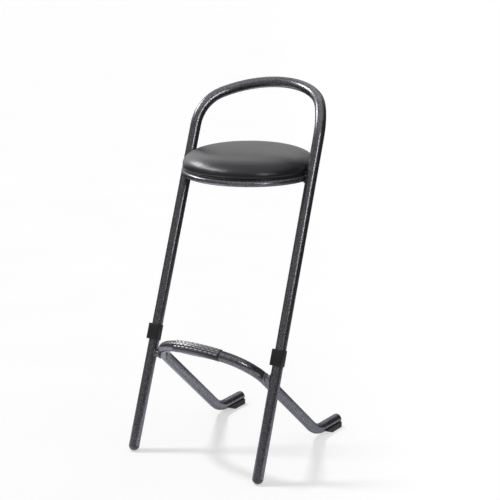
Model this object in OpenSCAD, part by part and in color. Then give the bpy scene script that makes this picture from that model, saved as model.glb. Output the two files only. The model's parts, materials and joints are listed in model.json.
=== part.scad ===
// Tall stacking bar stool with a hoop back, welded from two bent round steel tubes.
//
// The main hoop is one tube: two front legs that lean back, two shoulder bends that turn in
// and back, and a shallow arc across the top as a back rest. The lower frame is a second tube:
// an arched footrest in front, and two diagonals that run down and back to the rear feet.
// A round seat sits on a rolled ring between the legs.
//
// Axes: +X to the right seen from the front, +Y to the back, +Z up. The origin is on the
// floor, at the middle of the stool's footprint. Lengths are in millimetres, angles in degrees.

/* [Frame tube] */
// Outside diameter of the frame tube
tube_d = 28; // [26:1:30]
// Wall of the frame tube
tube_wall = 1.5; // [1:0.5:2.5]

/* [Main hoop] */
// Distance of each leg's axis from the middle, on the floor
foot_half = 194; // [190:1:200]
// Lean of the legs to the back
leg_lean = 19.1; // [18:0.1:20]
// Slope of each leg towards the middle
leg_flare = 0.4; // [0.2:0.1:0.6]
// Straight run of each leg, from the floor
leg_run = 872; // [860:1:890]
// Radius of the shoulder bends
shoulder_r = 115; // [105:1:125]
// Turn of the shoulder bends
shoulder_turn = 57; // [54:1:60]
// Roll of the shoulder bends to the back
shoulder_roll = 44; // [38:1:50]

/* [Lower frame] */
// Height of the footrest's crown
crown_z = 309; // [300:1:320]
// Distance of the footrest's crown behind the legs' feet
crown_y = 20; // [16:1:30]
// Radius of the footrest's arch
arch_r = 264; // [250:1:280]
// Half the turn of the footrest's arch
arch_half_turn = 17.5; // [16:0.5:18.5]
// Radius of the footrest's corners
corner_r = 104; // [98:1:106]
// Splay of each diagonal from straight back
splay = 1; // [0:0.5:2]
// Fall of the diagonals to the back
diagonal_fall = 42; // [40:1:44]
// Radius of the bends above the rear feet
heel_r = 85; // [75:1:90]
// Height of the rear feet's axis
rear_foot_z = 20; // [18:1:22]
// Distance of the rear feet's ends behind the front feet
rear_end_y = 449; // [440:1:460]

/* [Footrest sleeve] */
// Half the turn that the wear sleeve covers
sleeve_half_turn = 14.8; // [12:0.1:15.5]
// Wall of the wear sleeve
sleeve_wall = 1.6; // [1:0.1:2]

/* [Spacers] */
// Diameter of the spacers between the legs and the lower frame
spacer_d = 18; // [14:1:20]
// Radius of the weld beads
bead_r = 2.8; // [2.2:0.1:3]

/* [Stacking bumpers] */
// Distance of a bumper's lower end from the floor, along the leg
bumper_start = 296; // [295:1:310]
// Length of a bumper
bumper_len = 41; // [30:1:45]
// Width of a bumper
bumper_w = 33.5; // [31:0.5:34]
// Reach of a bumper in front of the leg's axis
bumper_front = 16.2; // [16:0.1:18]
// Reach of a bumper behind the leg's axis
bumper_back = 4.4; // [3:0.1:6]

/* [Feet] */
// Radius of the front glides
glide_r = 14.2; // [14:0.1:15]
// Depth of the flat on the front glides
glide_flat = 0.6; // [0.4:0.1:1]
// Width of the rear pads
pad_w = 35; // [32:1:38]
// Height of the rear pads' sides
pad_h = 15; // [13:1:16]
// Length of the rear pads' soles
pad_sole = 49; // [45:1:52]
// Length of the ramp in front of a rear pad's sole
pad_ramp = 31; // [26:1:33]

/* [Seat] */
// Height of the seat ring's axis
ring_z = 725; // [715:1:735]
// Diameter of the seat ring's tube
ring_tube_d = 16; // [14:1:16]
// Radius of the seat ring's axis
ring_r = 166.7; // [164:0.1:166.8]
// Distance of the seat's axis behind the front feet
seat_y = 258; // [254:1:262]
// Radius of the cushion
cushion_r = 174; // [171:0.1:174.1]
// Height of the widest part of the cushion above the board's lower face
cushion_waist = 9; // [8:1:11]
// Rise of the cushion's crown above its widest part
cushion_rise = 46; // [40:1:50]
// Thickness of the plywood board
board_t = 12; // [10:1:14]

/* [Hidden] */

$fn = 96;
tube_r = tube_d / 2;
tube_bore = tube_d - 2 * tube_wall;
touch = 0.05;        // clearance of a pressed or clipped fit, on the radius
past = 1;            // overrun of a cutting tool
seam = 0.01;         // hair's breadth left at the end of each bend
seam_ring_h = 2;     // height of the ring, within the wall, that bridges a seam

// A frame is [origin, x, y, z]: z runs along the tube, and bends turn towards x.
function fed(f, run) = [f[0] + run * f[3], f[1], f[2], f[3]];
function rolled(f, roll) = [
    f[0],
    cos(roll) * f[1] + sin(roll) * f[2],
    cos(roll) * f[2] - sin(roll) * f[1],
    f[3]
];
function bent(f, r, turn) = [
    f[0] + r * (1 - cos(turn)) * f[1] + r * sin(turn) * f[3],
    cos(turn) * f[1] - sin(turn) * f[3],
    f[2],
    cos(turn) * f[3] + sin(turn) * f[1]
];

// Main hoop: the leg's frame on the floor, and the frames after each bend
leg_foot = [
    [foot_half, 0, 0],
    [cos(leg_flare), sin(leg_flare) * sin(leg_lean), sin(leg_flare) * cos(leg_lean)],
    [0, cos(leg_lean), -sin(leg_lean)],
    [-sin(leg_flare), cos(leg_flare) * sin(leg_lean), cos(leg_flare) * cos(leg_lean)]
];
// Each leg is cut where its glide's dome begins
glide_z = glide_r - glide_flat;
leg_cut = glide_z / leg_foot[3].z;
leg_start = rolled(fed(leg_foot, leg_cut), 180 - shoulder_roll);
shoulder_start = fed(leg_start, leg_run - leg_cut);
shoulder_end = bent(shoulder_start, shoulder_r, shoulder_turn);
// The top arc turns towards the middle, and is level and square where it meets its mirror
top_roll = atan2(-shoulder_end[2].x, -shoulder_end[1].x);
top_turn = acos(-shoulder_end[3].x);
top_r = shoulder_end[0].x / sin(top_turn);
// Each row is a straight run, a roll, a bend's radius and its turn
hoop_program = [
    [leg_run - leg_cut, 0, shoulder_r, shoulder_turn],
    [0, top_roll, top_r, top_turn]
];

// Lower frame: from the crown of the footrest to the right rear foot
crown = [
    [0, crown_y, crown_z],
    [0, cos(diagonal_fall), -sin(diagonal_fall)],
    [0, sin(diagonal_fall), cos(diagonal_fall)],
    [1, 0, 0]
];
corner_turn = 90 - arch_half_turn - splay;
corner_start = bent(crown, arch_r, arch_half_turn);
corner_end = bent(corner_start, corner_r, corner_turn);
heel_turn = atan2(-corner_end[3].z, corner_end[2].z);
heel_drop = heel_r * ((1 - cos(heel_turn)) * corner_end[2].z + sin(heel_turn) * corner_end[3].z);
diagonal_run = (rear_foot_z - corner_end[0].z - heel_drop) / corner_end[3].z;
heel_end = bent(rolled(fed(corner_end, diagonal_run), 90), heel_r, heel_turn);
foot_run = (rear_end_y - heel_end[0].y) / heel_end[3].y;
foot_end = fed(heel_end, foot_run);
lower_program = [
    [0, 0, arch_r, arch_half_turn],
    [0, 0, corner_r, corner_turn],
    [diagonal_run, 90, heel_r, heel_turn],
    [foot_run, 0, 0, 0]
];

// Rear end plugs
plug_head = 2.5;
plug_edge = 1.5;     // rounding of the plug's rim
plug_shank = 18;
rib_h = 0.35;        // height of the gripping ribs
rib_pitch = 5;
rib_count = 3;

// The origin is the middle of the footprint, from the front glides to the rear plugs
front_y = leg_foot[3].y * leg_cut - glide_r;
back_y = rear_end_y + plug_head;
middle_y = (front_y + back_y) / 2;

// Spacers lie just below where a leg's axis passes the lower frame's plane
spacer_drop = 2;
spacer_s = (crown_y * crown[2].y + crown_z * crown[2].z)
    / (leg_foot[3].y * crown[2].y + leg_foot[3].z * crown[2].z) - spacer_drop;
spacer_at = fed(leg_foot, spacer_s)[0];
spacer_reach = 60;   // blank length, before its ends are coped to the tubes
bead_inset = 0.8;    // depth of a bead's circle inside the tube's side

// Rear pads
pad_y1 = rear_end_y - 2;
pad_y0 = pad_y1 - pad_sole;
pad_nose = 2;        // height of the pad's blunt front edge
pad_peg_d = 8;
pad_peg_foot = 3;    // height of the peg's foot, inside the pad's body
pad_peg_top = 14;
pad_peg_y = pad_y0 + pad_sole * 0.55;
pad_peg_gap = 0.1;
pad_axis_x = foot_end[0].x - (rear_end_y - pad_peg_y) * foot_end[3].x / foot_end[3].y;
pad_groove_h = 1.5;
pad_groove_w = 2;
pad_groove_count = 4;

// Seat heights and radii
ring_tube_r = ring_tube_d / 2;
ring_top = ring_z + ring_tube_r;
ring_wall = 1.5;
vent_d = 4;
cover_t = 1.2;
margin_inner_r = 150;
board_z = ring_top + cover_t;
board_r = 164;
foam_r = cushion_r - cover_t;
waist_z = board_z + cushion_waist;
crown_power = 2.8;   // shape of the cushion's section: larger is flatter on top
dome_steps = 28;
skirt_steps = 6;
dust_t = 0.6;
dust_r = margin_inner_r - 2;

// Fasteners of the seat: machine screws up through the ring's tabs into tee nuts
screw_angles = [45, 135, 225, 315];
screw_r = 146;
screw_d = 6;
screw_len = 18;
head_d = 11;
head_h = 3.5;
socket_af = 4;
washer_t = 1.6;
washer_d = 12;
washer_hole = 6.4;
lock_gap = 1.5;
tab_w = 24;
tab_t = 3;
tab_inner_r = 134;
tab_hole = 7;
nut_flange_d = 19;
nut_flange_t = 1.2;
nut_barrel_d = 7.8;
nut_barrel_h = 9;
nut_gap = 0.1;
thread_gap = 0.05;
staple_count = 24;
staple_r = 152.5;
staple_crown = 10;
staple_wire = 0.6;
staple_clear_angle = 11;  // no staple this close to a tab

paint = "#3b3c40";
bright_steel = "#8d8f94";
black_plastic = "#18181a";
black_vinyl = "#202022";
plywood = "#c39a66";
foam_yellow = "#d8cfa8";
zinc = "#a9acb0";

// --- Shared shapes -------------------------------------------------------------------

// Everything is drawn from the front feet's line and then moved to the footprint's middle.
module stool() {
    translate([0, -middle_y, 0]) children();
}

module left() {
    mirror([1, 0, 0]) children();
}

// Right-hand child and its mirror
module pair() {
    children();
    left() children();
}

// Place children in a frame
module in_frame(f) {
    multmatrix([
        [f[1].x, f[2].x, f[3].x, f[0].x],
        [f[1].y, f[2].y, f[3].y, f[0].y],
        [f[1].z, f[2].z, f[3].z, f[0].z],
        [0, 0, 0, 1]
    ]) children();
}

// Sweep a flat outline round a bend: it starts along +Z at the origin and turns towards +X
module bend(r, turn) {
    translate([r, 0, 0]) rotate([90, 0, 180])
        rotate_extrude(angle = turn) translate([r, 0]) children();
}

// Sweep a flat outline along a bending program, from the origin along +Z. Each bend stops a
// hair short of the next run, so that their end faces never cross.
module run_along(program, i = 0) {
    if (i < len(program)) {
        run = program[i][0];
        r = program[i][2];
        turn = program[i][3];
        if (run > 0) linear_extrude(run) children();
        translate([0, 0, run]) rotate([0, 0, program[i][1]]) {
            if (turn > 0) bend(r, turn - seam / r * 180 / PI) children();
            translate([r, 0, 0]) rotate([0, turn, 0]) translate([-r, 0, 0]) {
                if (i < len(program) - 1) seam_ring();
                run_along(program, i + 1) children();
            }
        }
    }
}

module tube_outline() {
    difference() {
        circle(d = tube_d);
        circle(d = tube_bore);
    }
}

// Ring inside the wall of the tube, that makes the runs on both sides of a seam one piece
module seam_ring() {
    translate([0, 0, -seam_ring_h / 2]) linear_extrude(seam_ring_h) difference() {
        circle(r = tube_r - tube_wall / 3);
        circle(r = tube_r - tube_wall * 2 / 3);
    }
}

// --- Frame ---------------------------------------------------------------------------

module main_hoop() {
    color(paint) {
        pair() in_frame(leg_start) run_along(hoop_program) tube_outline();
        in_frame(bent(rolled(shoulder_end, top_roll), top_r, top_turn)) seam_ring();
    }
}

module lower_frame() {
    color(paint) difference() {
        union() {
            pair() in_frame(crown) run_along(lower_program) tube_outline();
            in_frame(crown) seam_ring();
        }
        pair() pad_peg(pad_peg_d + 2 * pad_peg_gap);
    }
}

// Embossed wear sleeve round the middle of the footrest
module footrest_sleeve() {
    color(bright_steel) difference() {
        sleeve_bar(tube_d + 2 * (touch + sleeve_wall));
        sleeve_bar(tube_d + 2 * touch);
    }
}

module sleeve_bar(d) {
    translate(crown[0]) rotate([-diagonal_fall, 0, 0]) translate([0, arch_r, 0])
        rotate([0, 0, -90 - sleeve_half_turn])
            rotate_extrude(angle = 2 * sleeve_half_turn)
                translate([arch_r, 0]) circle(d = d);
}

// Straight stretch of a leg, for coping other parts to it
module leg_bar(d) {
    in_frame(fed(leg_foot, leg_cut)) cylinder(d = d, h = leg_run - leg_cut);
}

// Corner of the lower frame, for coping other parts to it
module corner_bar(d) {
    in_frame(corner_start) bend(corner_r, corner_turn) circle(d = d);
}

module spacer_blank() {
    translate(spacer_at) rotate([0, -90, 0]) cylinder(d = spacer_d, h = spacer_reach);
}

module spacer() {
    color(paint) difference() {
        spacer_blank();
        leg_bar(tube_d);
        corner_bar(tube_d);
        inner_side_cut();
    }
}

// Removes what reaches past the lower frame's tube towards the middle
module inner_side_cut() {
    cut = 2 * spacer_reach;
    translate([spacer_at.x - spacer_reach / 2 - cut - tube_r / 2, spacer_at.y - cut / 2,
               spacer_at.z - cut / 2])
        cube(cut);
}

// Half-round bead round the spacer
module bead(x) {
    translate([x, spacer_at.y, spacer_at.z]) rotate([0, 90, 0])
        rotate_extrude() intersection() {
            translate([spacer_d / 2, 0]) circle(r = bead_r);
            translate([spacer_d / 2, -bead_r]) square(2 * bead_r);
        }
}

module spacer_welds() {
    color(paint) difference() {
        union() {
            bead(spacer_at.x - tube_r + bead_inset);
            bead(corner_side_x() - bead_inset);
        }
        leg_bar(tube_d);
        corner_bar(tube_d);
    }
}

// Outer side of the lower frame's corner, level with the spacer
function corner_side_x() =
    let (back = (spacer_at.y - corner_end[0].y) / corner_end[3].y,
         around = asin(min(1, -back / corner_r)))
    corner_end[0].x - corner_r * (1 - cos(around)) + tube_r;

// --- Feet and bumpers ----------------------------------------------------------------

module bumper_outline() {
    corner = 3;
    half = bumper_w / 2;
    difference() {
        union() {
            translate([-half, corner - bumper_front])
                square([bumper_w, bumper_front + bumper_back - corner]);
            translate([corner - half, -bumper_front])
                square([bumper_w - 2 * corner, bumper_front]);
            for (side = [-1, 1])
                translate([side * (half - corner), corner - bumper_front]) circle(r = corner);
        }
        circle(r = tube_r + touch);
    }
}

// Clip that protects the leg where another stool is stacked against it
module bumper() {
    color(black_plastic) in_frame(fed(leg_foot, bumper_start))
        linear_extrude(bumper_len) bumper_outline();
}

// Ribbed shank that grips the bore of the tube, from the origin along +Z
module ribbed_shank(len) {
    shank_r = tube_bore / 2 - rib_h - touch;
    cylinder(r = shank_r, h = len);
    for (i = [1:rib_count])
        translate([0, 0, i * rib_pitch]) cylinder(r = shank_r + rib_h, h = rib_pitch / 3);
}

module front_glide() {
    color(black_plastic) difference() {
        in_frame(fed(leg_foot, leg_cut)) {
            difference() {
                sphere(r = glide_r);
                cylinder(r = 2 * glide_r, h = 2 * glide_r);
            }
            ribbed_shank(plug_shank);
        }
        translate([foot_half - 2 * glide_r, -2 * glide_r, -2 * glide_r])
            cube([4 * glide_r, 4 * glide_r, 2 * glide_r]);
    }
}

module plug_profile() {
    head_r = tube_r - 0.2;
    square([head_r - plug_edge, plug_head]);
    square([head_r, plug_head - plug_edge]);
    translate([head_r - plug_edge, plug_head - plug_edge]) circle(r = plug_edge);
}

module rear_plug() {
    color(black_plastic) in_frame(foot_end) {
        rotate_extrude() plug_profile();
        rotate([180, 0, 0]) ribbed_shank(plug_shank);
    }
}

// Peg that holds a rear pad in the hole under the foot
module pad_peg(d) {
    translate([pad_axis_x, pad_peg_y, 0]) cylinder(d = d, h = pad_peg_top);
}

module pad_block() {
    translate([pad_axis_x - pad_w / 2, 0, 0]) rotate([90, 0, 90])
        linear_extrude(pad_w) polygon([
            [pad_y0 - pad_ramp, pad_h],
            [pad_y0 - pad_ramp, pad_h - pad_nose],
            [pad_y0, 0],
            [pad_y1, 0],
            [pad_y1, pad_h]
        ]);
}

module pad_grooves() {
    pitch = pad_sole / (pad_groove_count + 1);
    for (i = [1:pad_groove_count])
        translate([pad_axis_x - pad_w / 2 - past, pad_y0 + i * pitch - pad_groove_w / 2, -past])
            cube([pad_w + 2 * past, pad_groove_w, pad_groove_h + past]);
}

module rear_pad() {
    color(black_plastic) {
        difference() {
            pad_block();
            foot_bar(tube_d + 2 * touch);
            pad_grooves();
        }
        pad_peg_bridge();
    }
}

// The peg, from inside the pad's body up into the foot
module pad_peg_bridge() {
    difference() {
        pad_peg(pad_peg_d);
        translate([pad_axis_x - pad_peg_d, pad_peg_y - pad_peg_d, -past])
            cube([2 * pad_peg_d, 2 * pad_peg_d, pad_peg_foot + past]);
    }
}

// Foot of the lower frame, for coping the pad to it
module foot_bar(d) {
    in_frame(fed(foot_end, -2 * pad_sole)) cylinder(d = d, h = 2 * pad_sole + past);
}

// --- Seat ----------------------------------------------------------------------------

module at_seat() {
    translate([0, seat_y, 0]) children();
}

module ring_bar(d) {
    at_seat() translate([0, 0, ring_z])
        rotate_extrude() translate([ring_r, 0]) circle(d = d);
}

// Rolled tube ring, with a vent hole underneath
module seat_ring() {
    color(paint) difference() {
        ring_bar(ring_tube_d);
        ring_bar(ring_tube_d - 2 * ring_wall);
        at_seat() translate([0, ring_r, ring_z - ring_tube_d])
            cylinder(d = vent_d, h = ring_tube_d);
    }
}

// Weld beads that follow the leg, above and below the ring
module ring_weld() {
    weld_r = 2.5;
    weld_turn = 44;
    rise = ring_tube_r - 0.5;
    leg_at = fed(leg_foot, ring_z / leg_foot[3].z)[0];
    color(paint) difference() {
        for (up = [-1, 1])
            translate([leg_at.x, leg_at.y, ring_z + up * rise] + up * rise * tan(leg_lean) * [0, 1, 0])
                rotate([0, 0, 180 - weld_turn / 2])
                    rotate_extrude(angle = weld_turn) translate([tube_r + 1.6, 0])
                        circle(r = weld_r);
        ring_bar(ring_tube_d);
        leg_bar(tube_d);
    }
}

module at_screw(i) {
    at_seat() rotate([0, 0, screw_angles[i]]) translate([screw_r, 0, 0]) children();
}

module at_screws() {
    for (i = [0:len(screw_angles) - 1]) at_screw(i) children();
}

// Flat tab on the inside of the ring, with a hole for a seat screw
module seat_tab(i) {
    reach = ring_r - tab_inner_r;
    color(paint) difference() {
        at_screw(i) translate([tab_inner_r - screw_r, -tab_w / 2, ring_top - tab_t])
            cube([reach, tab_w, tab_t]);
        at_screw(i) translate([0, 0, ring_top - tab_t - past])
            cylinder(d = tab_hole, h = tab_t + 2 * past);
        ring_bar(ring_tube_d);
    }
}

module seat_board() {
    color(plywood) difference() {
        at_seat() translate([0, 0, board_z]) cylinder(r = board_r, h = board_t);
        at_screws() translate([0, 0, board_z - past])
            cylinder(d = nut_barrel_d + 2 * nut_gap, h = board_t + 2 * past);
        at_screws() translate([0, 0, board_z + board_t - nut_flange_t])
            cylinder(d = nut_flange_d + 2 * nut_gap, h = nut_flange_t + past);
    }
}

// Section of the cushion, from the crown out to the waist: a flat-topped dome
function dome(r, rise) = [
    for (i = [0:dome_steps])
        let (q = sin(90 * i / dome_steps))
        [r * q, waist_z + rise * sqrt(1 - pow(q, crown_power))]
];
// Section of the cushion's side, from the waist in and down to its lower edge
function skirt(r, bottom) = [
    for (i = [1:skirt_steps])
        let (a = 90 * i / skirt_steps)
        [r - (r - board_r) * 0.5 * (1 - cos(a)), waist_z - (waist_z - bottom) * sin(a)]
];

foam_outline = concat(
    dome(foam_r, cushion_rise - cover_t),
    skirt(foam_r, board_z),
    [[board_r, board_z], [board_r, board_z + board_t], [0, board_z + board_t]]
);
cover_outline = concat(
    dome(cushion_r, cushion_rise),
    skirt(cushion_r, ring_top),
    [[margin_inner_r, ring_top], [margin_inner_r, board_z]],
    [for (i = [skirt_steps - 1:-1:0]) skirt(foam_r, board_z)[i]],
    [for (i = [dome_steps:-1:0]) dome(foam_r, cushion_rise - cover_t)[i]]
);

module seat_foam() {
    color(foam_yellow) at_seat() rotate_extrude() polygon(foam_outline);
}

// Vinyl cover, drawn over the foam and turned in under the board
module seat_cover() {
    color(black_vinyl) at_seat() rotate_extrude() polygon(cover_outline);
}

// Non-woven cloth under the board, inside the vinyl's margin
module dust_cover() {
    color(black_vinyl) difference() {
        at_seat() translate([0, 0, board_z - dust_t]) cylinder(r = dust_r, h = dust_t);
        at_screws() translate([0, 0, board_z - dust_t - past])
            cylinder(d = tab_hole + 2, h = dust_t + 2 * past);
    }
}

function near_tab(a) = min([for (s = screw_angles) abs(s - a)]) < staple_clear_angle;

module staple() {
    translate([-staple_wire / 2, -staple_crown / 2, ring_top - staple_wire])
        cube([staple_wire, staple_crown, staple_wire]);
}

module cover_staples() {
    color(zinc) at_seat()
        for (i = [0:staple_count - 1]) {
            a = 360 * (i + 0.5) / staple_count;
            if (!near_tab(a)) rotate([0, 0, a]) translate([staple_r, 0, 0]) staple();
        }
}

module tee_nuts() {
    top = board_z + board_t;
    color(zinc) difference() {
        at_screws() {
            translate([0, 0, top - nut_flange_t]) cylinder(d = nut_flange_d, h = nut_flange_t);
            translate([0, 0, top - nut_barrel_h]) cylinder(d = nut_barrel_d, h = nut_barrel_h);
        }
        at_screws() translate([0, 0, top - nut_barrel_h - past])
            cylinder(d = screw_d + 2 * thread_gap, h = nut_barrel_h + 2 * past);
    }
}

washer_top = ring_top - tab_t;
head_top = washer_top - 2 * washer_t;

module flat_washers() {
    color(zinc) difference() {
        at_screws() translate([0, 0, washer_top - washer_t]) cylinder(d = washer_d, h = washer_t);
        at_screws() translate([0, 0, washer_top - washer_t - past])
            cylinder(d = washer_hole, h = washer_t + 2 * past);
    }
}

module lock_washers() {
    color(zinc) difference() {
        at_screws() translate([0, 0, head_top]) cylinder(d = washer_d - 1, h = washer_t);
        at_screws() translate([0, 0, head_top - past])
            cylinder(d = screw_d + 0.2, h = washer_t + 2 * past);
        at_screws() translate([0, -lock_gap / 2, head_top - past])
            cube([washer_d, lock_gap, washer_t + 2 * past]);
    }
}

module seat_screws() {
    color(zinc) difference() {
        at_screws() {
            translate([0, 0, head_top - head_h]) cylinder(d = head_d, h = head_h);
            translate([0, 0, head_top - past]) cylinder(d = screw_d, h = screw_len + past);
        }
        at_screws() translate([0, 0, head_top - head_h - past])
            cylinder(d = socket_af / cos(30), h = head_h, $fn = 6);
    }
}

// --- Nodes ---------------------------------------------------------------------------

stool() main_hoop();
stool() lower_frame();
stool() seat_ring();
for (i = [0:3]) stool() seat_tab(i);
stool() footrest_sleeve();
stool() left() spacer();  // spacer_left
stool() spacer();  // spacer_right
stool() left() spacer_welds();  // spacer_welds_left
stool() spacer_welds();  // spacer_welds_right
stool() left() ring_weld();  // ring_weld_left
stool() ring_weld();  // ring_weld_right
stool() left() bumper();  // bumper_left
stool() bumper();  // bumper_right
stool() left() front_glide();  // front_glide_left
stool() front_glide();  // front_glide_right
stool() left() rear_plug();  // rear_plug_left
stool() rear_plug();  // rear_plug_right
stool() left() rear_pad();  // rear_pad_left
stool() rear_pad();  // rear_pad_right
stool() seat_board();
stool() seat_foam();
stool() seat_cover();
stool() dust_cover();
stool() cover_staples();
stool() tee_nuts();
stool() seat_screws();
stool() lock_washers();
stool() flat_washers();
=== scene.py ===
"""Looks of a hoop-back bar stool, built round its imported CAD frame. Metres, +Z up, front to -Y."""

import json
import math

import bmesh
import bpy
from mathutils import Matrix, Vector, noise

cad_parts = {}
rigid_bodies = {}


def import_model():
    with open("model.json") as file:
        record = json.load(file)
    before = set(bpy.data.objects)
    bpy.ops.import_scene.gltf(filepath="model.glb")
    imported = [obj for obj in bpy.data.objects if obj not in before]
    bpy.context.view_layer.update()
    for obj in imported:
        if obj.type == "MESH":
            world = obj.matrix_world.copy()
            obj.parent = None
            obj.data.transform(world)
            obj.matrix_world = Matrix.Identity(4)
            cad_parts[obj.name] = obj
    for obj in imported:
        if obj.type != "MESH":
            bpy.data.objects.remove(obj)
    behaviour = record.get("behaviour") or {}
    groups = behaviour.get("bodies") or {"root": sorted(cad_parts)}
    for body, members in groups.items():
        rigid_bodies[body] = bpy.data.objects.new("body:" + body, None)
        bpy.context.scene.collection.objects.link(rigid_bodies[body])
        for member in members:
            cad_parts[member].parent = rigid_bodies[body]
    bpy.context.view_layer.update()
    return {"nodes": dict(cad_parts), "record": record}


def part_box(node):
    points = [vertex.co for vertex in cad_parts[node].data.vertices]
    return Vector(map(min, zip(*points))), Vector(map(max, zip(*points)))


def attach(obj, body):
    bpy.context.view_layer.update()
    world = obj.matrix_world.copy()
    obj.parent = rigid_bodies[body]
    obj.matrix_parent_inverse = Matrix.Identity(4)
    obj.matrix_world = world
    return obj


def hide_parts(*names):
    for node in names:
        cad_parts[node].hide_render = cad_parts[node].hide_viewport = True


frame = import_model()
nodes = frame["nodes"]
BODY = "root"
MM = 0.001

# --- Sizes -----------------------------------------------------------------------------------

# Names in capitals are set here. The others are read from the frame or follow from both.
TUBE_R = 14 * MM
LEG_LEAN = math.radians(19.1)
LEG_FLARE = math.radians(0.4)
GLIDE_R = 14.2 * MM
GLIDE_CENTRE_Z = 13.6 * MM


def middle(node):
    low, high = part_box(node)
    return (low + high) / 2


ring_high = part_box("seat_ring")[1]
board_low, board_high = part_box("seat_board")
cover_low, cover_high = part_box("seat_cover")
glide_low, glide_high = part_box("front_glide_right")
seat_axis = Vector((0, middle("seat_ring").y, 0))
board_r = (board_high.x - board_low.x) / 2
cover_r = (cover_high.x - cover_low.x) / 2
crown_z = cover_high.z
leg_direction = Vector((-math.sin(LEG_FLARE), math.cos(LEG_FLARE) * math.sin(LEG_LEAN),
                        math.cos(LEG_FLARE) * math.cos(LEG_LEAN)))


def leg_axis(side):
    """A point on a leg's axis at the floor, and the axis' direction. side is 1 right, -1 left."""
    start = Vector((glide_high.x - GLIDE_R, glide_low.y + GLIDE_R, GLIDE_CENTRE_Z))
    start -= leg_direction * (GLIDE_CENTRE_Z / leg_direction.z)
    return Vector((side * start.x, start.y, 0)), Vector((side * leg_direction.x, *leg_direction[1:]))


# --- Material helpers ------------------------------------------------------------------------


class Nodes:
    """A small builder for a material's node tree."""

    def __init__(self, name):
        self.material = bpy.data.materials.new(name)
        self.material.use_nodes = True
        self.tree = self.material.node_tree
        self.bsdf = self.tree.nodes["Principled BSDF"]
        self.place = self.tree.nodes.new("ShaderNodeTexCoord").outputs["Object"]

    def set(self, **values):
        """Set inputs of the surface, named with _ for a space."""
        for name, value in values.items():
            self.bsdf.inputs[name.replace("_", " ")].default_value = value

    def link(self, source, target):
        self.tree.links.new(source, target)

    def node(self, kind, inputs=None, **properties):
        """Add a node. An input is a value, or the socket that feeds it."""
        made = self.tree.nodes.new("ShaderNode" + kind)
        for name, value in properties.items():
            setattr(made, name, value)
        for name, value in (inputs or {}).items():
            if isinstance(value, bpy.types.NodeSocket):
                self.link(value, made.inputs[name])
            else:
                made.inputs[name].default_value = value
        return made

    def stretched(self, scale):
        """The place on the piece, scaled along each axis."""
        return self.node("Mapping", {"Vector": self.place, "Scale": scale}).outputs["Vector"]

    def noise(self, scale, detail=2.0, roughness=0.5, vector=None):
        return self.node("TexNoise", {"Vector": vector or self.place, "Scale": scale,
                                      "Detail": detail, "Roughness": roughness}).outputs["Fac"]

    def cells(self, scale, feature="F1", smooth=0.0, randomness=1.0):
        made = self.node("TexVoronoi", {"Vector": self.place, "Scale": scale,
                                        "Randomness": randomness}, feature=feature)
        if feature == "SMOOTH_F1":
            made.inputs["Smoothness"].default_value = smooth
        return made.outputs["Distance"]

    def ramp(self, factor, stops):
        """Colours, or shades of grey, at positions of a factor."""
        made = self.node("ValToRGB", {"Fac": factor})
        elements = made.color_ramp.elements
        while len(elements) < len(stops):
            elements.new(0.5)
        for element, (position, colour) in zip(elements, stops):
            element.position = position
            element.color = grey(colour) if isinstance(colour, (int, float)) else (*colour, 1)
        return made.outputs["Color"]

    def spread(self, factor, low, high, from_low=0.0, from_high=1.0):
        """Map a factor from its own range to the range low to high."""
        return self.node("MapRange", {"Value": factor, "From Min": from_low, "From Max": from_high,
                                      "To Min": low, "To Max": high}).outputs["Result"]

    def math(self, operation, a, b):
        made = self.node("Math", operation=operation)
        for socket, value in zip(made.inputs, (a, b)):
            if isinstance(value, bpy.types.NodeSocket):
                self.link(value, socket)
            else:
                socket.default_value = value
        return made.outputs["Value"]

    def mix(self, factor, a, b):
        """A colour or shade between a, at 0, and b, at 1."""
        made = self.node("Mix", data_type="RGBA")
        for socket, value in zip([s for s in made.inputs if s.enabled], (factor, a, b)):
            if isinstance(value, bpy.types.NodeSocket):
                self.link(value, socket)
            elif socket.type == "RGBA":
                socket.default_value = grey(value) if isinstance(value, (int, float)) else (*value, 1)
            else:
                socket.default_value = value
        return [s for s in made.outputs if s.enabled][0]

    def bump(self, height, strength, distance):
        made = self.node("Bump", {"Height": height, "Strength": strength, "Distance": distance})
        return made.outputs["Normal"]

    def finish(self, colour=None, roughness=None, normal=None):
        """Feed the surface, and hand back the material."""
        for name, source in (("Base Color", colour), ("Roughness", roughness), ("Normal", normal)):
            if source is not None:
                self.link(source, self.bsdf.inputs[name])
        return self.material


def grey(value):
    return (value, value, value, 1)


def toned(colour, factor):
    """A colour made darker or lighter."""
    return tuple(channel * factor for channel in colour)


# --- Materials -------------------------------------------------------------------------------


def frame_coat():
    """Dark grey hammered powder coat: light dimpled flecks with finer darker veins between them."""
    dark = (0.035, 0.035, 0.04)
    light = (0.36, 0.357, 0.382)
    m = Nodes("frame_coat")
    m.set(Metallic=0.85, Specular_Tint=grey(0.5))
    fleck = m.noise(700, 2, 0.6)
    vein = m.spread(m.cells(400, "DISTANCE_TO_EDGE"), 0, 1, 0.02, 0.3)
    tone = m.math("ADD", m.math("MULTIPLY", fleck, 0.62), m.math("MULTIPLY", vein, 0.3))
    middle_tone = tuple((a + b) * 0.5 for a, b in zip(dark, light))
    colour = m.ramp(tone, [(0.27, dark), (0.43, middle_tone), (0.62, light)])
    return m.finish(colour, m.spread(fleck, 0.2, 0.32, 0.35, 0.65), m.bump(vein, 0.15, 0.16 * MM))


def weld_coat():
    """The same coat over the weld beads, thinner and less even."""
    m = Nodes("weld_coat")
    m.set(Metallic=0.6)
    fleck = m.noise(500, 3)
    colour = m.ramp(fleck, [(0.35, (0.05, 0.05, 0.056)), (0.65, (0.30, 0.30, 0.32))])
    return m.finish(colour, m.spread(fleck, 0.2, 0.4), m.bump(fleck, 0.4, 0.4 * MM))


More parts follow.
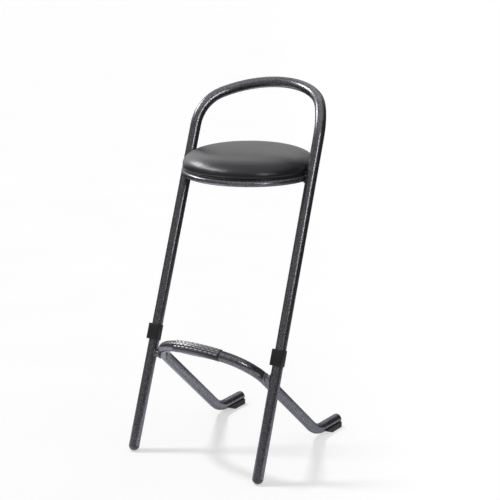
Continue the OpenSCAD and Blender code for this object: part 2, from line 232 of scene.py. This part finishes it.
def sleeve_coat():
    """Embossed sheet, dark grey. Painted highlight: the raised treads are coloured bright. Painted shade:
    the groove between the halves and the hems at the ends are near black, and the lower half is darker.
    """
    m = Nodes("sleeve_coat")
    m.set(Metallic=0.7)
    # Share of the raised treads, coloured bright below: a painted highlight.
    worn = m.node("Attribute", attribute_name="worn").outputs["Fac"]
    # Painted shade in the groove and painted shadow at the hems, plus a darker lower half.
    dark = m.node("Attribute", attribute_name="dark").outputs["Fac"]
    fleck = m.noise(600, 3)
    painted_glint = m.math("MULTIPLY", worn, m.spread(fleck, 0.55, 1.3, 0.3, 0.7))
    base = m.mix(dark, (0.1, 0.1, 0.108), (0.012, 0.012, 0.014))
    colour = m.mix(painted_glint, base, (0.62, 0.6, 0.61))
    return m.finish(colour, m.spread(fleck, 0.2, 0.36), m.bump(fleck, 0.25, 0.3 * MM))


def moulded(name, colour, roughness):
    """Moulded rubber or plastic with a fine spark-eroded grain and faint scuffs."""
    m = Nodes(name)
    grain = m.noise(900, 3, 0.6)
    scuff = m.noise(45, 4, 0.7)
    tone = m.ramp(scuff, [(0.35, toned(colour, 0.8)), (0.7, toned(colour, 1.35))])
    sheen = m.spread(scuff, roughness - 0.07, roughness + 0.08, 0.3, 0.7)
    return m.finish(tone, sheen, m.bump(grain, 0.35, 0.12 * MM))


def vinyl():
    """Satin black upholstery vinyl with a fine pebbled grain."""
    m = Nodes("vinyl")
    m.set(Coat_Weight=0.12, Coat_Roughness=0.34)
    pebble = m.cells(900, "SMOOTH_F1", 0.5)
    crease = m.noise(260, 4, 0.6)
    drift = m.noise(14, 2)
    colour = m.ramp(drift, [(0.3, (0.018, 0.018, 0.023)), (0.7, (0.026, 0.026, 0.032))])
    height = m.math("ADD", pebble, m.math("MULTIPLY", crease, 0.5))
    return m.finish(colour, m.spread(crease, 0.28, 0.38, 0.3, 0.7), m.bump(height, 0.28, 0.16 * MM))


def plywood():
    """Raw plywood with its grain along one axis."""
    m = Nodes("plywood")
    m.set(Roughness=0.7)
    grain = m.noise(30, 6, 0.65, m.stretched((2, 26, 60)))
    colour = m.ramp(grain, [(0.3, (0.36, 0.23, 0.12)), (0.7, (0.66, 0.49, 0.30))])
    return m.finish(colour, None, m.bump(grain, 0.3, 0.2 * MM))


def foam():
    """Open-celled yellow foam."""
    colour = (0.6, 0.52, 0.33)
    m = Nodes("foam")
    m.set(Roughness=0.92)
    pores = m.noise(700, 5, 0.75)
    tone = m.ramp(pores, [(0.3, toned(colour, 0.6)), (0.7, toned(colour, 1.6))])
    return m.finish(tone, None, m.bump(pores, 0.6, 0.3 * MM))


def dust_cloth():
    """Black non-woven cloth with its grid of small bonded dots."""
    m = Nodes("dust_cloth")
    m.set(Roughness=0.85)
    fibre = m.noise(900, 4, 0.75, m.stretched((1, 0.35, 1)))
    dots = m.spread(m.cells(620, randomness=0.0), 0, 1, 0.2, 0.45)
    colour = m.mix(dots, (0.009, 0.009, 0.009), m.ramp(fibre, [(0.3, 0.014), (0.7, 0.04)]))
    height = m.math("ADD", dots, m.math("MULTIPLY", fibre, 0.6))
    return m.finish(colour, None, m.bump(height, 0.5, 0.25 * MM))


def zinc():
    """Zinc plating with soft spangles."""
    m = Nodes("zinc")
    m.set(Metallic=1.0)
    spangle = m.noise(300, 3)
    colour = m.ramp(spangle, [(0.3, (0.42, 0.43, 0.45)), (0.7, (0.66, 0.67, 0.68))])
    return m.finish(colour, m.spread(spangle, 0.22, 0.4, 0.3, 0.7), m.bump(spangle, 0.15, 0.1 * MM))


MATERIALS = {
    "frame_coat": frame_coat(),
    "sleeve_coat": sleeve_coat(),
    "weld_coat": weld_coat(),
    "bumper_rubber": moulded("bumper_rubber", (0.008, 0.008, 0.009), 0.55),
    "glide_plastic": moulded("glide_plastic", (0.07, 0.07, 0.076), 0.4),
    "plug_plastic": moulded("plug_plastic", (0.05, 0.05, 0.054), 0.42),
    "pad_rubber": moulded("pad_rubber", (0.014, 0.014, 0.015), 0.66),
    "plywood": plywood(),
    "foam": foam(),
    "vinyl": vinyl(),
    "dust_cloth": dust_cloth(),
    "zinc": zinc(),
}


def dress(piece, slot):
    piece.data.materials.clear()
    piece.data.materials.append(MATERIALS[slot])


# --- Mesh helpers ----------------------------------------------------------------------------


def place(piece, slot, *replaced):
    """Finish a new piece: material, slot, body and the CAD nodes it stands for."""
    dress(piece, slot)
    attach(piece, BODY)
    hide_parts(*replaced)


def shade_smooth(piece):
    for polygon in piece.data.polygons:
        polygon.use_smooth = True


def new_piece(name, points, faces):
    """A smooth-shaded piece from its points and faces."""
    data = bpy.data.meshes.new(name)
    data.from_pydata([tuple(p) for p in points], [], faces)
    data.update()
    piece = bpy.data.objects.new(name, data)
    bpy.context.scene.collection.objects.link(piece)
    shade_smooth(piece)
    return piece


def grid_faces(rows, columns, close_rows=False):
    """Quads of a grid of points, row by row. Each row is a ring, and the rows can be one too."""
    faces = []
    for i in range(rows if close_rows else rows - 1):
        for j in range(columns):
            a, b = i * columns, (i + 1) % rows * columns
            k = (j + 1) % columns
            faces.append((a + j, a + k, b + k, b + j))
    return faces


def copy_of(node, name):
    """A loose copy of a CAD node, to be reworked and shown in its place."""
    piece = nodes[node].copy()
    piece.data = nodes[node].data.copy()
    piece.name = piece.data.name = name
    for key in list(piece.keys()):
        del piece[key]
    piece.parent = None
    bpy.context.scene.collection.objects.link(piece)
    return piece


def apply_modifiers(piece):
    """Replace a piece's mesh with the one that its modifiers make."""
    graph = bpy.context.evaluated_depsgraph_get()
    made = bpy.data.meshes.new_from_object(piece.evaluated_get(graph))
    piece.modifiers.clear()
    old = piece.data
    piece.data = made
    made.name = piece.name
    bpy.data.meshes.remove(old)


def voxel_remesh(piece, voxel):
    remesh = piece.modifiers.new("remesh", "REMESH")
    remesh.mode = "VOXEL"
    remesh.voxel_size = voxel
    apply_modifiers(piece)


def finer_copy(node, slot, width):
    """A copy of a CAD node with flat faces made whole and sharp edges rounded."""
    sharp_from = math.radians(32)
    creased_from = math.radians(40)
    piece = copy_of(node, node + "_moulded")
    bm = bmesh.new()
    bm.from_mesh(piece.data)
    bmesh.ops.remove_doubles(bm, verts=bm.verts, dist=0.01 * MM)
    bmesh.ops.dissolve_limit(bm, angle_limit=math.radians(1), verts=bm.verts, edges=bm.edges)
    sharp = [e for e in bm.edges if len(e.link_faces) == 2 and e.calc_face_angle(0) > sharp_from]
    bmesh.ops.bevel(bm, geom=sharp, offset=width, offset_type="OFFSET", segments=3,
                    profile=0.5, affect="EDGES", clamp_overlap=True)
    for face in bm.faces:
        face.smooth = True
    bm.to_mesh(piece.data)
    bm.free()
    piece.data.set_sharp_from_angle(angle=creased_from)
    place(piece, slot, node)


# --- Camera, floor and light -----------------------------------------------------------------


def direction(azimuth, elevation):
    """Unit vector from the stool towards a place round it: azimuth 0 is the front."""
    a, e = math.radians(azimuth), math.radians(elevation)
    return Vector((math.sin(a) * math.cos(e), -math.cos(a) * math.cos(e), math.sin(e)))


VIEW_AZIMUTH = 33.74
VIEW_ELEVATION = 14.67
VIEW_DISTANCE = 3.7273
VIEW_CENTRE = Vector((-0.0012, 0.0409, 0.5134))
SENSOR_WIDTH = 36
LENS = 103.17


def add_camera():
    data = bpy.data.cameras.new("camera")
    data.sensor_width = SENSOR_WIDTH
    data.lens = LENS
    camera = bpy.data.objects.new("camera", data)
    bpy.context.scene.collection.objects.link(camera)
    back = direction(VIEW_AZIMUTH, VIEW_ELEVATION)
    camera.location = VIEW_CENTRE + VIEW_DISTANCE * back
    camera.rotation_mode = "QUATERNION"
    camera.rotation_quaternion = (-back).to_track_quat("-Z", "Y")
    bpy.context.scene.camera = camera


def square_piece(name, half, height):
    """A level square about the origin."""
    corners = [(-half, -half, height), (half, -half, height), (half, half, height), (-half, half, height)]
    return new_piece(name, corners, [(0, 1, 2, 3)])


def add_floor():
    """A plain pale floor, white all the way back, that reflections and bounce light leave out."""
    floor = square_piece("floor", 40, 0)
    m = Nodes("floor")
    m.set(Roughness=0.9, Emission_Color=grey(1))
    m.bsdf.inputs["Specular IOR Level"].default_value = 0.0
    rightward = m.node("VectorMath", {0: m.place, 1: direction(VIEW_AZIMUTH + 90, 0)},
                       operation="DOT_PRODUCT").outputs["Value"]
    # The lamps light the floor at the left, where shadows show. At the right it only glows.
    lit = m.spread(rightward, 1, 0, 0.15, 0.45)
    m.link(m.spread(lit, 1, 0.52), m.bsdf.inputs["Emission Strength"])
    paper = m.ramp(m.noise(3), [(0.3, 0.58), (0.7, 0.6)])
    floor.data.materials.append(m.finish(m.mix(lit, 0.0, paper)))
    floor.visible_glossy = False
    floor.visible_diffuse = False
    add_pool()


def add_pool():
    """The pool of light on the floor, for reflections alone: brightest at the left, dying away."""
    reach = 2.2
    pool = square_piece("pool", reach, -MM)
    m = Nodes("pool")
    m.set(Base_Color=grey(0), Emission_Color=(0.96, 0.96, 1.06, 1))
    m.bsdf.inputs["Specular IOR Level"].default_value = 0.0
    far = m.node("VectorMath", {0: m.place}, operation="LENGTH").outputs["Value"]
    across = m.node("SeparateXYZ", {"Vector": m.place}).outputs["X"]
    falling = m.ramp(m.spread(far, 0, 1, 0, reach), [(0.1, 1.0), (0.45, 0.7), (0.85, 0.0)])
    leftward = m.ramp(m.spread(across, 0, 1, -0.3, 0.2),
                      [(0.2, 1.0), (0.3, 0.4), (0.38, 0.55), (0.8, 0.62), (0.9, 0.45), (1.0, 0.52)])
    brightness = 1.9
    strength = m.math("MULTIPLY", m.math("MULTIPLY", falling, leftward), brightness)
    m.link(strength, m.bsdf.inputs["Emission Strength"])
    pool.data.materials.append(m.finish())
    pool.visible_camera = pool.visible_diffuse = pool.visible_shadow = False


def add_panel(name, azimuth, elevation, distance, size, power, aim=None):
    """A soft rectangular light that faces the stool and shows only in its reflections."""
    data = bpy.data.lights.new(name, "AREA")
    data.shape = "RECTANGLE"
    data.size, data.size_y = size
    data.energy = power
    lamp = bpy.data.objects.new(name, data)
    bpy.context.scene.collection.objects.link(lamp)
    target = aim or VIEW_CENTRE
    lamp.location = target + distance * direction(azimuth, elevation)
    lamp.rotation_mode = "QUATERNION"
    lamp.rotation_quaternion = (target - lamp.location).to_track_quat("-Z", "Y")
    lamp.visible_diffuse = False
    return lamp


def add_sun(azimuth, elevation, strength, softness):
    """A sun that lights matt surfaces and stays out of reflections."""
    data = bpy.data.lights.new("key_sun", "SUN")
    data.energy = strength
    data.angle = math.radians(softness)
    lamp = bpy.data.objects.new("key_sun", data)
    bpy.context.scene.collection.objects.link(lamp)
    lamp.rotation_mode = "QUATERNION"
    lamp.rotation_quaternion = (-direction(azimuth, elevation)).to_track_quat("-Z", "Y")
    lamp.visible_glossy = False
    return lamp


def drop_shadows(lamp, pieces):
    """Let this lamp's light pass through these pieces, so that they cast no shadow."""
    blockers = bpy.data.collections.new("no_shadow")
    for piece in pieces:
        blockers.objects.link(piece)
    for entry in blockers.collection_objects:
        entry.light_linking.link_state = "EXCLUDE"
    lamp.light_linking.blocker_collection = blockers


def shine_on(lamp, pieces):
    """Let this lamp light these pieces alone."""
    lit = bpy.data.collections.new(lamp.name + "_lights")
    for piece in pieces:
        lit.objects.link(piece)
    lamp.light_linking.receiver_collection = lit


class Patch:
    """A soft bright patch of the studio's walls that only reflections see."""

    def __init__(self, azimuth, elevation, full, fade, level):
        self.towards = direction(azimuth, elevation)
        self.inner = math.cos(math.radians(full))
        self.outer = math.cos(math.radians(fade))
        self.level = level


WALLS = 0.4            # light of the walls and the floor on matt surfaces
REFLECTED_DIM = 0.05   # light of the walls in reflections, where there is no patch
REFLECTED = [          # azimuth, elevation, radius at full level, radius where it ends, level
    Patch(VIEW_AZIMUTH + 180, 16, 28, 50, 0.46),
    Patch(VIEW_AZIMUTH + 180, 36, 8, 24, 0.4),
    Patch(VIEW_AZIMUTH + 180, 46, 12, 32, 0.4),
    Patch(-15, 5, 35, 75, 0.24),
    Patch(VIEW_AZIMUTH, 80, 20, 60, 0.7),
    Patch(-110, 22, 10, 30, 0.7),
]


def add_world():
    """White studio. Reflections see dim walls with a few soft bright patches."""
    world = bpy.data.worlds.new("studio")
    bpy.context.scene.world = world
    world.use_nodes = True
    tree = world.node_tree
    tree.nodes.clear()
    link = tree.links.new

    def node(kind, **values):
        made = tree.nodes.new("ShaderNode" + kind)
        for name, value in values.items():
            made.inputs[name.replace("_", " ")].default_value = value
        return made

    rays = node("LightPath").outputs
    where = node("TexCoord").outputs["Generated"]
    total = node("Value").outputs[0]
    total.default_value = REFLECTED_DIM
    for patch in REFLECTED:
        facing = node("VectorMath")
        facing.operation = "DOT_PRODUCT"
        facing.inputs[1].default_value = patch.towards
        level = node("MapRange", From_Min=patch.outer, From_Max=patch.inner, To_Max=patch.level)
        level.interpolation_type = "SMOOTHSTEP"
        add = node("Math")
        link(where, facing.inputs[0])
        link(facing.outputs["Value"], level.inputs["Value"])
        link(level.outputs["Result"], add.inputs[0])
        link(total, add.inputs[1])
        total = add.outputs["Value"]
    seen = node("Background", Color=grey(1), Strength=1.0)
    matt = node("Background", Color=grey(1), Strength=WALLS)
    mirrored = node("Background", Color=grey(1))
    link(total, mirrored.inputs["Strength"])
    first = node("MixShader")
    second = node("MixShader")
    link(rays["Is Glossy Ray"], first.inputs["Fac"])
    link(matt.outputs[0], first.inputs[1])
    link(mirrored.outputs[0], first.inputs[2])
    link(rays["Is Camera Ray"], second.inputs["Fac"])
    link(first.outputs[0], second.inputs[1])
    link(seen.outputs[0], second.inputs[2])
    link(second.outputs[0], node("OutputWorld").inputs["Surface"])


def light_scene():
    add_world()
    sun = add_sun(azimuth=-85, elevation=59, strength=1.45, softness=8)
    drop_shadows(sun, [o for o in bpy.data.objects if o.name.startswith(("seat_", "dust_", "cover_"))])
    add_panel("key_panel", azimuth=-84, elevation=38, distance=2.4, size=(1.0, 0.62), power=25)
    side = add_panel("side_panel", azimuth=-42, elevation=43, distance=2.4, size=(1.4, 0.5), power=26)
    shine_on(side, [bpy.data.objects["seat_cushion"]])
    front = add_panel("front_panel", azimuth=40, elevation=8, distance=2.0, size=(3.2, 1.2), power=4.5)
    shine_on(front, [nodes["seat_ring"]])
    strip = add_panel("strip", azimuth=58, elevation=10, distance=2.5, size=(0.1, 1.15), power=12,
                      aim=Vector((0.15, 0, 1.12)))
    tilt = leg_axis(1)[1].rotation_difference(Vector((0, 0, 1))).angle
    strip.rotation_quaternion @= Matrix.Rotation(tilt, 4, "Z").to_quaternion()
    bpy.context.scene.view_settings.view_transform = "Standard"


# --- Cushion ---------------------------------------------------------------------------------


def round_seat(radius, angle, height):
    """The point at a radius, an angle and a height about the seat's axis."""
    return seat_axis + Vector((radius * math.cos(angle), radius * math.sin(angle), height))


WAIST_RISE = 8.2 * MM    # height of the cushion's widest place above the board's underside
CLOTH_STIFFNESS = 40
CLOTH_BENDING = 6
CLOTH_STEPS = 20


def cushion_section(radius, crown, bottom):
    """Points (radius, height) from the crown's middle out to the waist and in to the board's edge."""
    dome_steps = 22
    skirt_steps = 5
    waist = board_low.z + WAIST_RISE
    dome = [(radius * math.sin(a), waist + (crown - waist) * math.sqrt(1 - math.sin(a) ** 4))
            for a in (math.pi / 2 * i / dome_steps for i in range(dome_steps + 1))]
    tuck = radius - board_r - 1.5 * MM
    skirt = [(radius - tuck * (1 - math.cos(a)), waist - (waist - bottom) * math.sin(a))
             for a in (math.pi / 2 * i / skirt_steps for i in range(1, skirt_steps + 1))]
    return dome + skirt


def lathe(name, section):
    """A closed solid turned about the seat's axis, from a section that starts on the axis."""
    sides = 128
    points = [seat_axis + Vector((0, 0, section[0][1]))]
    for radius, height in section[1:]:
        for j in range(sides):
            points.append(round_seat(radius, 2 * math.pi * j / sides, height))
    points.append(seat_axis + Vector((0, 0, section[-1][1])))
    faces = [(0, 1 + j, 1 + (j + 1) % sides) for j in range(sides)]
    faces += [tuple(1 + v for v in f[::-1]) for f in grid_faces(len(section) - 1, sides)]
    last = 1 + (len(section) - 2) * sides
    faces += [(len(points) - 1, last + (j + 1) % sides, last + j) for j in range(sides)]
    return new_piece(name, points, faces)


def swell(piece, voxel, pressure, cap, pin_below):
    """Puff a closed piece with a short cloth simulation, by a cap at most.

    What lies below the height pin_below is held.
    """
    voxel_remesh(piece, voxel)
    rest = [v.co.copy() for v in piece.data.vertices]
    held = piece.vertex_groups.new(name="held")
    held.add([v.index for v in piece.data.vertices if v.co.z < pin_below], 1.0, "REPLACE")
    cloth_modifier = piece.modifiers.new("cloth", "CLOTH")
    settings = cloth_modifier.settings
    settings.use_pressure = True
    settings.uniform_pressure_force = pressure
    settings.vertex_group_mass = "held"
    settings.effector_weights.gravity = 0
    settings.tension_stiffness = CLOTH_STIFFNESS
    settings.compression_stiffness = CLOTH_STIFFNESS
    settings.bending_stiffness = CLOTH_BENDING
    scene = bpy.context.scene
    for step in range(1, CLOTH_STEPS + 1):
        scene.frame_set(step)
    apply_modifiers(piece)
    scene.frame_set(1)
    for vertex, start in zip(piece.data.vertices, rest):
        moved = vertex.co - start
        if moved.length > cap:
            vertex.co = start + moved * (cap / moved.length)
    piece.vertex_groups.clear()


def press_against_legs(piece, gap):
    """Dent a piece where a leg's tube passes it."""
    for side in (1, -1):
        foot, axis = leg_axis(side)
        for vertex in piece.data.vertices:
            from_foot = vertex.co - foot
            off = from_foot - axis * from_foot.dot(axis)
            reach = TUBE_R + gap
            if off.length < reach:
                vertex.co += off.normalized() * (reach - off.length)


def make_cushion():
    """Foam and vinyl as one padded piece, drawn a little small since the simulation puffs it."""
    section = cushion_section(cover_r - 1.5 * MM, crown_z - 3 * MM, board_low.z + 0.7 * MM)
    cushion = lathe("seat_cushion", section)
    swell(cushion, voxel=5 * MM, pressure=2.5, cap=6 * MM, pin_below=board_low.z + 1.6 * MM)
    press_against_legs(cushion, gap=0.3 * MM)
    relax = cushion.modifiers.new("relax", "SMOOTH")
    relax.factor = 0.5
    relax.iterations = 5
    smooth = cushion.modifiers.new("smooth", "SUBSURF")
    smooth.levels = smooth.render_levels = 1
    apply_modifiers(cushion)
    turn_margin_in(cushion)
    shade_smooth(cushion)
    place(cushion, "vinyl", "seat_cover", "seat_foam")


def turn_margin_in(cushion):
    """Add the vinyl's margin, turned in under the board, with the small pleats of a gathered edge."""
    sides = 432
    pleats = 72
    pleat_depth = 0.9 * MM
    pleat_lean = 0.35
    inner = 150 * MM
    outer = board_r + 4 * MM
    under = ring_high.z
    over = board_low.z - 0.1 * MM
    section = [(inner, over), (inner + 0.2 * MM, under + 0.1 * MM), (inner + 3 * MM, under),
               (inner + 7 * MM, under), (inner + 11 * MM, under), (outer - 3.5 * MM, under),
               (outer - 0.7 * MM, under), (outer, under + 1 * MM),
               (outer - 0.6 * MM, over + 2.5 * MM), (outer - 3 * MM, over)]
    fold = [0, 0.5, 1, 1, 0.8, 0.2, 0.1, 0, 0, 0]
    points = []
    for (radius, height), share in zip(section, fold):
        for j in range(sides):
            a = 2 * math.pi * j / sides
            sag = pleat_depth * share * (0.5 - 0.5 * math.cos(pleats * a)) ** 3
            turn = a + share * pleat_lean * math.sin(pleats * a) / pleats
            points.append(round_seat(radius, turn, height - sag))
    faces = [f[::-1] for f in grid_faces(len(section), sides, close_rows=True)]
    margin = new_piece("margin", points, faces)
    bm = bmesh.new()
    bm.from_mesh(cushion.data)
    bm.from_mesh(margin.data)
    bm.to_mesh(cushion.data)
    bm.free()
    bpy.data.objects.remove(margin)


def make_dust_sheet():
    """Cloth stapled flat under the board: drawn up at its staples and hanging a little between them."""
    low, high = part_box("dust_cover")
    radius = (high.x - low.x) / 2
    sides = 192
    rings = 24
    staples = 24
    hang = 1.8 * MM
    drawn_up = 0.4 * MM
    wrinkle_height = 0.25 * MM
    points = [seat_axis + Vector((0, 0, low.z - hang))]
    for i in range(1, rings + 1):
        r = radius * i / rings
        middle_share = 1 - (i / rings) ** 2
        for j in range(sides):
            a = 2 * math.pi * j / sides
            pull = math.cos(staples / 2 * a) ** 2 * (i / rings) ** 12
            sag = hang * middle_share ** 1.6 - drawn_up * pull
            ripple = noise.noise(Vector((7 * math.cos(a), 7 * math.sin(a), 9 * i / rings)))
            wrinkle = wrinkle_height * middle_share * ripple
            points.append(round_seat(r, a, low.z + 0.2 * MM - sag + wrinkle))
    faces = [(0, 1 + (j + 1) % sides, 1 + j) for j in range(sides)]
    faces += [tuple(1 + v for v in f) for f in grid_faces(rings, sides)]
    sheet = new_piece("dust_sheet", points, faces)
    place(sheet, "dust_cloth", "dust_cover")


# --- Footrest sleeve -------------------------------------------------------------------------


ARCH_R = 264 * MM                        # bend of the footrest's arch
ARCH_FALL = math.radians(42)             # fall of the arch's plane towards the back
SLEEVE_HALF_TURN = math.radians(14.8)
SLEEVE_BORE_R = TUBE_R + 0.06 * MM
SLEEVE_R = TUBE_R + 1.65 * MM
TREAD_PITCH = 13 * MM
TREAD_HALF = 6.2 * MM                    # half a tread's length
TREAD_WIDE = 2.1 * MM                    # half a tread's width, at its middle
ROW_GAP = 5.6 * MM
GROOVE_HALF = 1.5 * MM                   # half the width of the grooves between the two halves
HEM = 2.2 * MM                           # raised hem at the sleeve's ends
SHEET_SINK = 0.35 * MM                   # how far the plain sheet lies under the CAD's surface
EMBOSSED_RISE = 0.75 * MM                # rise of the treads and the hems above the plain sheet
GROOVE_DEPTH = 0.6 * MM
sleeve_low, sleeve_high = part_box("footrest_sleeve")
sleeve_crown = Vector((0, sleeve_low.y + SLEEVE_R, sleeve_high.z - SLEEVE_R))


def bell(x, half):
    """1 at 0, falling smoothly to 0 at half."""
    return math.cos(min(abs(x) / half, 1) * math.pi / 2) ** 2


def sleeve_point(turn, rise, radius):
    """The point at a turn along the arch, a rise round the tube and a radius about its axis."""
    inward = Vector((0, math.cos(ARCH_FALL), -math.sin(ARCH_FALL)))
    across = Vector((1, 0, 0))
    upward = across.cross(inward)
    outward = math.sin(turn) * across - math.cos(turn) * inward
    centre = sleeve_crown + ARCH_R * inward + ARCH_R * outward
    a = rise - ARCH_FALL
    return centre + radius * (math.cos(a) * outward + math.sin(a) * upward)


def tread_height(along, around):
    """Share of a tread's full height: lenses in rows, staggered by half their pitch."""
    row = round(around / ROW_GAP)
    shift = 0.5 * TREAD_PITCH * (row % 2)
    x = (along + shift + 0.5 * TREAD_PITCH) % TREAD_PITCH - 0.5 * TREAD_PITCH
    y = around - row * ROW_GAP
    slim = TREAD_WIDE * max(1 - (x / TREAD_HALF) ** 2, 0)
    return bell(y, slim) ** 0.7 if slim > 0.1 * MM else 0.0


def sleeve_relief(turn, rise):
    """The sleeve's radius at a place on its outside, its share of painted highlight on the treads, and its
    share of painted shade in the groove and at the hems, with the lower half darker.
    """
    along = turn * ARCH_R
    around = rise * SLEEVE_R
    from_end = SLEEVE_HALF_TURN * ARCH_R - abs(along)
    from_groove = min(abs(around - halves * math.pi * SLEEVE_R) for halves in range(3))
    upper = 0 < rise < math.pi and from_groove > GROOVE_HALF
    tread = tread_height(along, around) if upper and from_end > HEM + 1.5 * MM else 0.0
    groove = bell(from_groove, GROOVE_HALF)
    hem = bell(from_end - HEM / 2, HEM / 2 + 0.3 * MM)
    rise_here = EMBOSSED_RISE * (tread + hem * upper) - GROOVE_DEPTH * groove
    # Second value: painted highlight on the treads. Third: painted shade in the groove, painted shadow at
    # the hems, and a darker lower half.
    return SLEEVE_R - SHEET_SINK + rise_here, tread, max(groove, hem, 0.45 * (not upper))


def make_sleeve():
    """Sleeve round the footrest, embossed with lens-shaped treads on its upper half."""
    columns = 250
    rows = 176
    turns = [SLEEVE_HALF_TURN * (2 * i / columns - 1) for i in range(columns + 1)]
    rises = [2 * math.pi * j / rows for j in range(rows)]
    bore = [(SLEEVE_BORE_R, 0.0, 1.0)] * rows
    outside = [(turn, [sleeve_relief(turn, rise) for rise in rises]) for turn in turns]
    rings = [(turns[0], bore), *outside, (turns[-1], bore)]
    points = [sleeve_point(turn, rise, spot[0]) for turn, ring in rings for rise, spot in zip(rises, ring)]
    sleeve = new_piece("embossed_sleeve", points, grid_faces(len(rings), rows, close_rows=True))
    # Store on each point the painted highlight of the treads and the painted shade of the groove, hems and
    # lower half.
    for index, name in ((1, "worn"), (2, "dark")):
        layer = sleeve.data.attributes.new(name, "FLOAT", "POINT")
        layer.data.foreach_set("value", [spot[index] for turn, ring in rings for spot in ring])
    place(sleeve, "sleeve_coat", "footrest_sleeve")


# --- Welds -----------------------------------------------------------------------------------


WELD_VOXEL = 0.42 * MM
RIPPLE_SLANT = 0.36    # turn of the ripples, in radians, for each millimetre along the axis
RIPPLE_LEVEL = 0.6     # the wave's middle level, taken off so that a bead keeps its size
GRAIN_SCALE = 420
GRAIN_SHARE = 0.5      # height of the beads' grain beside their ripples


def rippled_weld(node, centre, axis, ripples, depth):
    """A weld bead remade from a CAD node, with the ripples of its weld pool round an axis."""
    piece = copy_of(node, node + "_beads")
    voxel_remesh(piece, WELD_VOXEL)
    side = axis.orthogonal().normalized()
    other = axis.cross(side)
    normals = [v.normal.copy() for v in piece.data.vertices]
    for vertex, normal in zip(piece.data.vertices, normals):
        arm = vertex.co - centre
        a = math.atan2(arm.dot(other), arm.dot(side))
        wave = abs(math.sin(ripples * a / 2 + RIPPLE_SLANT * arm.dot(axis) / MM)) - RIPPLE_LEVEL
        grain = noise.noise(vertex.co * GRAIN_SCALE) * GRAIN_SHARE
        vertex.co += normal * depth * (wave + grain)
    shade_smooth(piece)
    place(piece, "weld_coat", node)


def make_welds():
    spacer_axis = Vector((1, 0, 0))
    for name, side in (("left", -1), ("right", 1)):
        rippled_weld("spacer_welds_" + name, middle("spacer_" + name), spacer_axis,
                     ripples=22, depth=0.45 * MM)
        rippled_weld("ring_weld_" + name, *leg_axis(side), ripples=44, depth=0.35 * MM)


# --- Run -------------------------------------------------------------------------------------

for record_row in frame["record"]["subparts"]:
    dress(nodes[record_row["node"]], record_row["material_slot"])

make_cushion()
make_dust_sheet()
make_sleeve()
make_welds()
for side_name in ("left", "right"):
    finer_copy("bumper_" + side_name, "bumper_rubber", width=0.7 * MM)
    finer_copy("rear_pad_" + side_name, "pad_rubber", width=0.6 * MM)
for tab in ("1", "2", "3", "4"):
    finer_copy("seat_tab_" + tab, "frame_coat", width=0.4 * MM)
finer_copy("seat_screws", "zinc", width=0.3 * MM)
add_camera()
add_floor()
light_scene()
